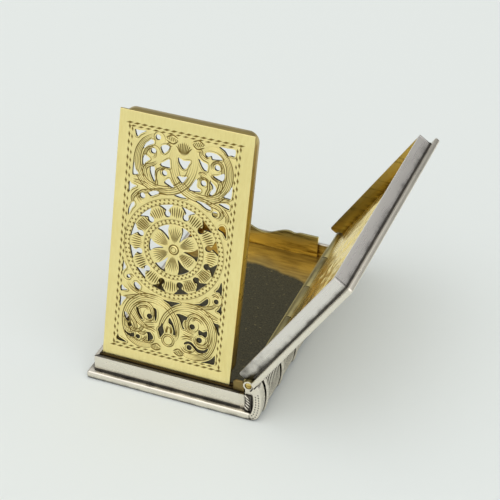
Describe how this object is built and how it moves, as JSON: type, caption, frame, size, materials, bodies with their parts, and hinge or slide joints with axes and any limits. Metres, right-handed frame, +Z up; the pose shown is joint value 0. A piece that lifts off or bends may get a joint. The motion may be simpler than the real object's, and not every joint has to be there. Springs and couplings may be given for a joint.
{
  "type": "book-shaped vinaigrette box",
  "caption": "Small book-shaped silver box with a hinged cover, a rounded banded spine and a hinged pierced gilt grille over a shallow tray.",
  "frame": {"origin": "middle of the bottom board's underside, the face the box rests on", "axes": "+X towards the spine, +Y from the grille hinge's end to the far end, +Z up"},
  "size_m": [0.035, 0.0376, 0.036],
  "materials": {
    "silver": "worn polished silver with dark tarnish in the recesses",
    "gilt": "pale satin gilding",
    "old_gilt": "darker worn gilding",
    "dull_gilt": "gilding dulled by olive tarnish"
  },
  "bodies": {
    "base": {"base_board": "silver", "base_fore_wall": "silver", "base_tail_wall": "silver", "base_head_wall": "silver", "base_hinge_wall": "silver", "tray_floor": "dull_gilt", "head_tongue": "old_gilt", "tail_bezel": "old_gilt", "spine_shell": "silver", "spine_bands": "silver", "spine_cap_tail": "silver", "spine_cap_head": "silver", "spine_knuckles": "silver", "lid_hinge_pin": "gilt", "tray_knuckles": "old_gilt", "grille_hinge_pin": "gilt"},
    "lid": {"lid_board": "silver", "lid_fore_wall": "silver", "lid_tail_wall": "silver", "lid_head_wall": "silver", "lid_lining": "gilt", "lid_knuckles": "silver"},
    "grille": {"grille_plate": "gilt", "grille_skirt": "old_gilt", "grille_knuckles": "old_gilt"}
  },
  "joints": [
    {"name": "lid_hinge", "type": "hinge", "parent": "base", "child": "lid", "pos_m": [0.01095, 0, 0.0052], "axis": [0, 1, 0], "range_deg": [-34, 0]},
    {"name": "grille_hinge", "type": "hinge", "parent": "base", "child": "grille", "pos_m": [0, -0.01664, 0.0032], "axis": [1, 0, 0], "range_deg": [-78, 20]}
  ]
}
